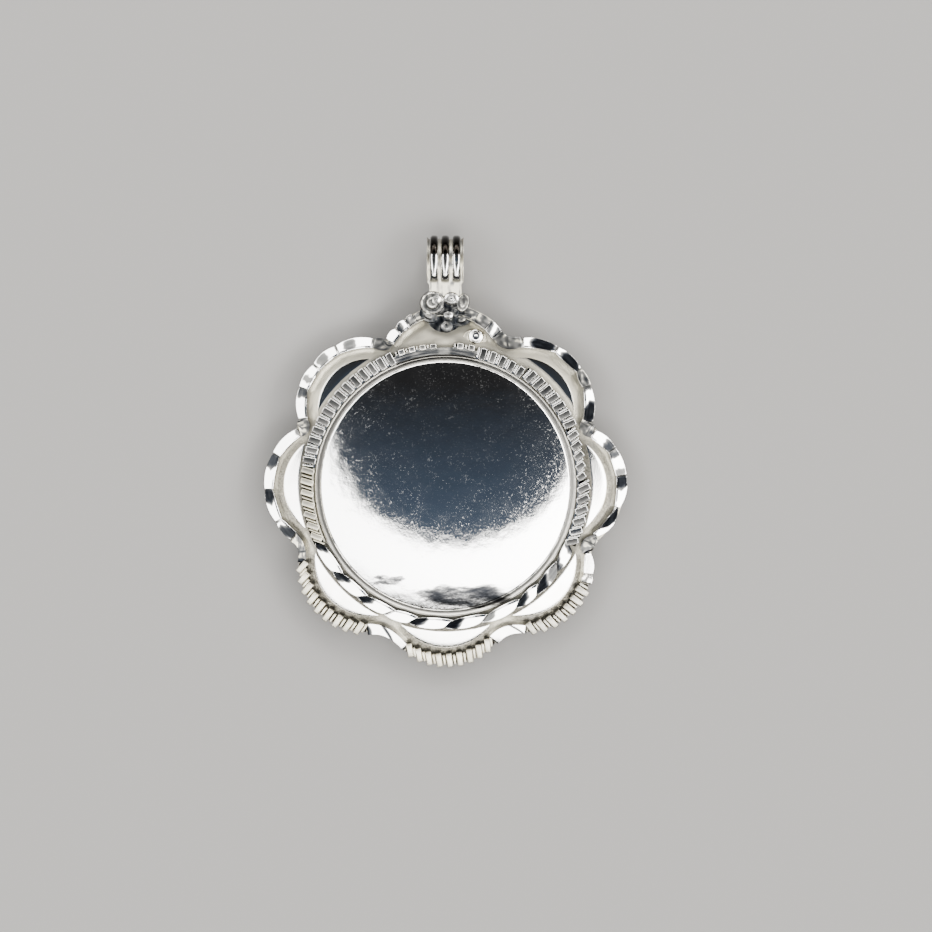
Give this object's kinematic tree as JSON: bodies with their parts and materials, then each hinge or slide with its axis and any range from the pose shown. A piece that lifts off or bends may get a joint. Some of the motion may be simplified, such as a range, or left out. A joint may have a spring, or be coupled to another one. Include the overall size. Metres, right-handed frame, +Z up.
{
  "type": "amulet pendant",
  "caption": "Round silver pendant with a domed polished disc in a ring of worked strip, on a scalloped plate of petals, under a ribbed bail with a small rosette.",
  "frame": {"origin": "the middle of the bounding box, on the surface that the pendant lies on", "axes": "+Y towards the bail, +Z up from the surface through the polished face, +X to the right seen from above"},
  "size_m": [0.0478, 0.0568, 0.007],
  "materials": {
    "worked_silver": "silver, polished on its high spots and matte cream in its recesses",
    "polished_silver": "mirror-polished silver with fine scratches"
  },
  "bodies": {
    "root": {"silver_frame": "worked_silver", "centre_disc": "polished_silver"}
  },
  "joints": []
}
